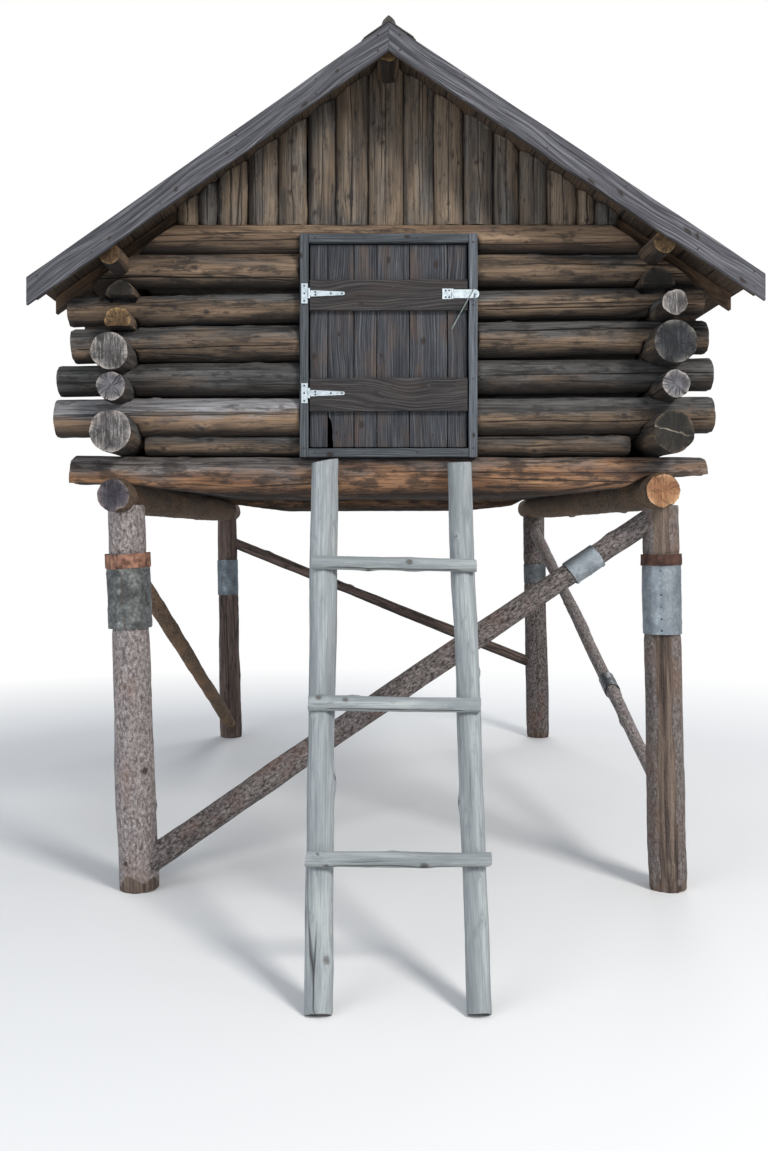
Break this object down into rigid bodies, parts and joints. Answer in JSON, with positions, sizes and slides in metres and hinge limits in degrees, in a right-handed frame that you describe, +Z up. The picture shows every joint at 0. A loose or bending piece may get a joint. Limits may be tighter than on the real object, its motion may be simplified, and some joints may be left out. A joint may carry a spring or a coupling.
{
  "type": "raised log cache",
  "caption": "Small notched log store on tall braced posts, with a gabled board roof, a hinged plank door in the front gable wall and a leaning pole ladder.",
  "frame": {"origin": "on the ground, in the middle of the box round the whole object, ladder included", "axes": "+X to the right and +Y to the back as the door is faced, +Z up"},
  "size_m": [3.088, 5.435, 3.761],
  "materials": {
    "weathered_log": "weathered, brown and grey with knots and checks",
    "bearer_log": "fibrous brown inner bark",
    "bark_pole": "rough grey bark",
    "bleached_pole": "bleached pale grey",
    "casing_plank": "weathered grey",
    "door_board": "dark weathered grey",
    "barge_board": "weathered grey with deep grain",
    "sawn_softwood": "sawn, lightly weathered",
    "gable_slab": "weathered half-round slab",
    "galvanised_sheet": "dull galvanised, rusty at the top",
    "zinc_hardware": "bright zinc",
    "steel_rod": "dull grey",
    "roofing_felt": "matt black"
  },
  "bodies": {
    "root": {"back_log_top": "weathered_log", "back_wall_logs": "weathered_log", "barge_board_back_left": "barge_board", "barge_board_back_right": "barge_board", "barge_board_front_left": "barge_board", "barge_board_front_right": "barge_board", "bearer_left": "bearer_log", "bearer_right": "bearer_log", "brace_back": "bark_pole", "brace_front": "bark_pole", "brace_left": "bark_pole", "brace_right": "bark_pole", "casing_head": "casing_plank", "casing_jamb_left": "casing_plank", "casing_jamb_right": "casing_plank", "casing_sill": "casing_plank", "eave_plate_left": "weathered_log", "eave_plate_right": "weathered_log", "floor_poles": "weathered_log", "front_log_top": "weathered_log", "front_logs_left": "weathered_log", "front_logs_right": "weathered_log", "gable_slabs_back": "gable_slab", "gable_slabs_front": "gable_slab", "hasp_staple": "zinc_hardware", "hinge_plates": "zinc_hardware", "ladder_rung_bottom": "bleached_pole", "ladder_rung_middle": "bleached_pole", "ladder_rung_top": "bleached_pole", "ladder_stile_left": "bleached_pole", "ladder_stile_right": "bleached_pole", "left_wall_logs": "weathered_log", "post_back_left": "bark_pole", "post_back_right": "bark_pole", "post_front_left": "bark_pole", "post_front_right": "bark_pole", "rafters_left": "sawn_softwood", "rafters_right": "sawn_softwood", "ridge_cap": "roofing_felt", "ridge_pole": "weathered_log", "right_wall_logs": "weathered_log", "roof_deck_left": "sawn_softwood", "roof_deck_right": "sawn_softwood", "sill_back": "weathered_log", "sill_front": "weathered_log", "tin_collars": "galvanised_sheet"},
    "door": {"door_boards": "door_board", "door_rail_top": "door_board", "door_rail_bottom": "door_board", "hinge_straps": "zinc_hardware", "hasp_plate": "zinc_hardware"},
    "hasp": {"hasp_leaf": "zinc_hardware", "hasp_rod": "steel_rod"}
  },
  "joints": [
    {"name": "door_swing", "type": "hinge", "parent": "root", "child": "door", "pos_m": [-0.3745, -1.44769, 2.425], "axis": [0, 0, -1], "range_deg": [0, 160]},
    {"name": "hasp_swing", "type": "hinge", "parent": "door", "child": "hasp", "pos_m": [0.2575, -1.44669, 2.65], "axis": [0, 0, -1], "range_deg": [0, 110]}
  ]
}
